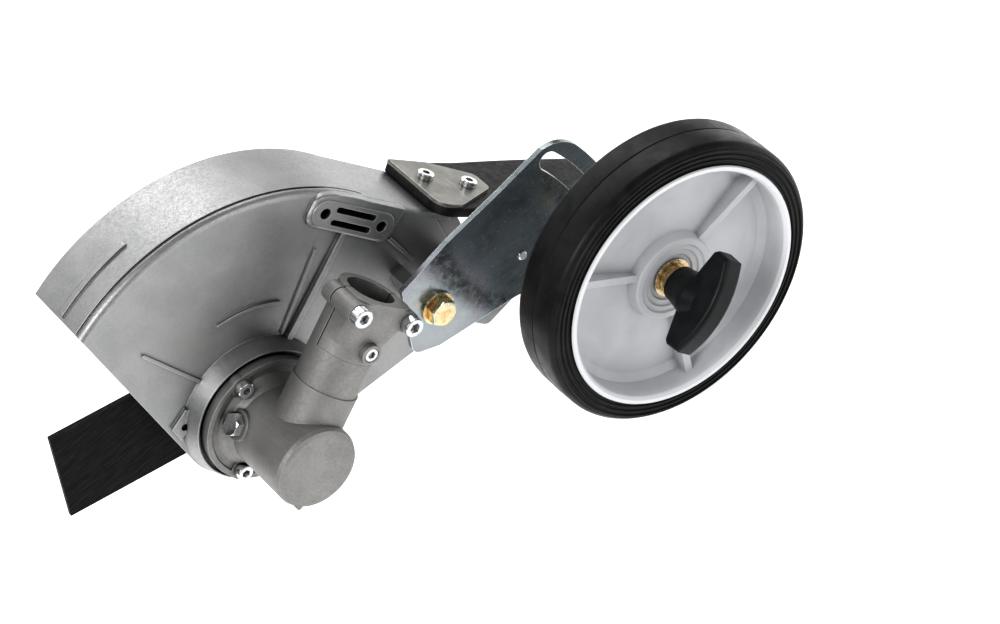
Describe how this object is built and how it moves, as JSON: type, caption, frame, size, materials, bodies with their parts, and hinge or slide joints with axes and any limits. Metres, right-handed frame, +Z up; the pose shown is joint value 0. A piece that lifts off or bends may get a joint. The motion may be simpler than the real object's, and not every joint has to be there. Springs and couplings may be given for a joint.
{
  "type": "lawn edger attachment",
  "caption": "Lawn edger head: cast blade guard, right-angle gear head with split tube clamp, flat blade, rubber flap and a height-adjustable side wheel.",
  "frame": {"origin": "centre of the tube clamp's mouth, on the drive tube's axis", "axes": "working attitude: +Z up, +X rearward to the operator (along the object's length), +Y across to the blade side; the drive tube leaves upward and rearward at 35 degrees"},
  "size_m": [0.3748, 0.182, 0.215],
  "materials": {
    "cast_aluminium": "satin, as cast",
    "cast_gear_case": "satin, as cast",
    "zinc_plate": "bright zinc plated",
    "bright_zinc": "bright zinc plated",
    "yellow_zinc": "yellow passivated",
    "brass": "machined",
    "flap_steel": "dull, dusty",
    "steel": "ground",
    "black_blade": "black, slightly rough",
    "rubber": "matt",
    "tyre_rubber": "satin",
    "wheel_plastic": "satin light grey",
    "knob_plastic": "semi-gloss black",
    "seal_rubber": "matt"
  },
  "bodies": {
    "frame": {"guard_shell": "cast_aluminium", "gear_housing": "cast_gear_case", "clamp_cap": "cast_gear_case", "clamp_screws": "bright_zinc", "locating_screw": "bright_zinc", "flange_screws": "bright_zinc", "grease_plug": "bright_zinc", "shaft_seal": "seal_rubber", "spindle_circlip": "steel", "pinion_circlip": "steel", "cap_bearing_outer": "steel", "cap_bearing_balls": "steel", "flange_bearing_outer": "steel", "flange_bearing_balls": "steel", "pinion_bearing_outers": "steel", "pinion_bearing_balls": "steel", "wheel_bracket": "zinc_plate", "bracket_bolt": "yellow_zinc", "bracket_washer": "yellow_zinc", "bracket_pin": "bright_zinc", "rubber_flap": "rubber", "flap_plate": "flap_steel", "flap_screws": "bright_zinc", "flap_nuts": "bright_zinc"},
    "pinion": {"pinion_shaft": "steel", "pinion_bearing_inners": "steel"},
    "spindle": {"blade_spindle": "steel", "bevel_gear": "steel", "cap_bearing_inner": "steel", "flange_bearing_inner": "steel", "drive_washer": "bright_zinc", "blade": "black_blade", "blade_clamp_washer": "bright_zinc", "blade_nut": "bright_zinc"},
    "wheel_carriage": {"axle_bolt": "bright_zinc", "axle_washer": "bright_zinc", "axle_spacer": "bright_zinc", "wheel_bush": "brass", "thrust_washer": "brass"},
    "wheel": {"wheel_hub": "wheel_plastic", "tyre": "tyre_rubber"},
    "knob": {"clamp_knob": "knob_plastic", "knob_insert": "brass"}
  },
  "joints": [
    {"name": "blade_spin", "type": "hinge", "parent": "frame", "child": "spindle", "pos_m": [-0.0729, 0.04, -0.05105], "axis": [0, 1, 0], "continuous": true},
    {"name": "pinion_spin", "type": "hinge", "parent": "frame", "child": "pinion", "pos_m": [-0.0729, 0, -0.05105], "axis": [0.8192, 0, 0.5736], "continuous": true},
    {"name": "wheel_height", "type": "hinge", "parent": "frame", "child": "wheel_carriage", "pos_m": [0.00129, 0, -0.05945], "axis": [0, -1, 0], "range_deg": [-2, 26]},
    {"name": "wheel_spin", "type": "hinge", "parent": "wheel_carriage", "child": "wheel", "pos_m": [0.12007, -0.05, -0.06671], "axis": [0, 1, 0], "continuous": true},
    {"name": "knob_turn", "type": "hinge", "parent": "wheel_carriage", "child": "knob", "pos_m": [0.12007, -0.08, -0.06671], "axis": [0, -1, 0], "range_deg": [0, 180]}
  ],
  "couplings": [
    {"joint": "pinion_spin", "follows": "blade_spin", "ratio": -1.3571}
  ]
}
